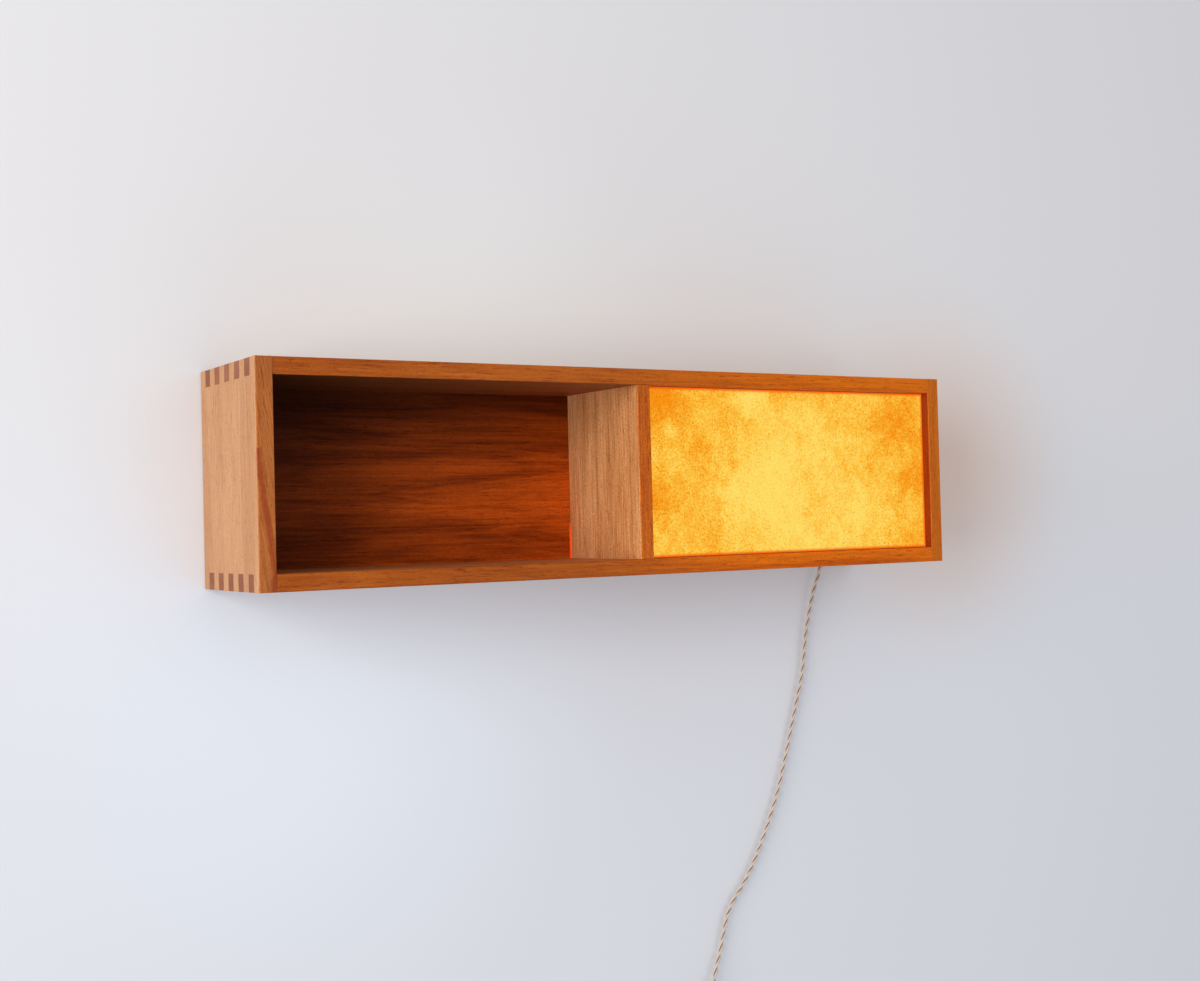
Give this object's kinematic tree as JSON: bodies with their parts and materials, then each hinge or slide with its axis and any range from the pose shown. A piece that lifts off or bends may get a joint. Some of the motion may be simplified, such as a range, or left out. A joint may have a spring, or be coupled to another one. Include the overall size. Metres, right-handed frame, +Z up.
{
  "type": "wall sconce",
  "caption": "Wall-hung finger-jointed wooden box lamp with an open niche, a parchment-fronted light box, a hanging cleat and a twisted cloth cord with a rocker switch and plug.",
  "frame": {"origin": "midway between the two wall screws of the hanging cleat, on the wall plane", "axes": "+X to the viewer's right along the box, +Y into the wall, +Z up"},
  "size_m": [0.8, 0.154, 0.8813],
  "materials": {
    "board_wood": "oiled hardwood, satin, fine straight grain",
    "divider_wood": "oiled hardwood, satin, upright grain",
    "back_wood": "dark figured hardwood panel, satin",
    "cover_board": "plain pale fibre board",
    "strip_wood": "planed softwood strip",
    "cleat_wood": "planed plywood strip",
    "parchment": "mottled parchment, lit from behind",
    "opal_pane": "opal diffusing sheet",
    "steel_screws": "zinc plated",
    "steel_brads": "bright wire brads",
    "holder_plastic": "black moulded phenolic",
    "brass_parts": "bright brass",
    "cap_metal": "nickel plated shell",
    "bulb_glass": "clear glass",
    "filament": "glowing filament rods",
    "wire_sleeve": "brown and blue sleeved wires",
    "terminal_plastic": "natural nylon",
    "cord_cloth": "twisted pair in woven natural cotton",
    "tie_band": "brown woven band",
    "switch_plastic": "brown moulded phenolic",
    "rocker_plastic": "ivory moulded plastic"
  },
  "bodies": {
    "wall_mount": {"wall_cleat": "cleat_wood"},
    "lamp_box": {"batten_bottom": "strip_wood", "batten_right": "strip_wood", "bottom_board": "board_wood", "box_cleat": "cleat_wood", "box_cleat_screws": "steel_screws", "bulb_cap_left": "cap_metal", "bulb_cap_right": "cap_metal", "bulb_filament_left": "filament", "bulb_filament_right": "filament", "bulb_glass_left": "bulb_glass", "bulb_glass_right": "bulb_glass", "clamp_screws": "steel_screws", "coil_tie": "tie_band", "cord_clamp": "terminal_plastic", "cord_coil": "cord_cloth", "cord_inside": "cord_cloth", "cord_lower": "cord_cloth", "cord_tail": "cord_cloth", "cord_upper": "cord_cloth", "cover_screws": "steel_screws", "divider": "divider_wood", "lampholder_left": "holder_plastic", "lampholder_right": "holder_plastic", "lampholder_screws": "steel_screws", "light_cover": "cover_board", "light_rail": "back_wood", "niche_back": "back_wood", "parchment_screen": "parchment", "plug_blades": "brass_parts", "plug_body": "switch_plastic", "rocker_pin": "steel_screws", "screen_pane": "opal_pane", "side_left": "board_wood", "side_right": "board_wood", "socket_contact_left": "brass_parts", "socket_contact_right": "brass_parts", "socket_sleeve_left": "brass_parts", "socket_sleeve_right": "brass_parts", "stop_bottom": "strip_wood", "stop_brads": "steel_brads", "stop_left": "strip_wood", "stop_right": "strip_wood", "stop_top": "strip_wood", "switch_back_shell": "switch_plastic", "switch_contacts": "brass_parts", "switch_front_shell": "switch_plastic", "switch_screws": "steel_screws", "terminal_block": "terminal_plastic", "terminal_screws": "steel_screws", "top_board": "board_wood", "wires_left": "wire_sleeve", "wires_right": "wire_sleeve"},
    "rocker": {"switch_rocker": "rocker_plastic"}
  },
  "joints": [
    {"name": "lift_off", "type": "slide", "parent": "wall_mount", "child": "lamp_box", "axis": [0, 0, 1], "range_m": [0, 0.012]},
    {"name": "rocker_tilt", "type": "hinge", "parent": "lamp_box", "child": "rocker", "pos_m": [0.166, -0.0177, -0.678], "axis": [1, 0, 0], "range_deg": [-14, 0]}
  ]
}
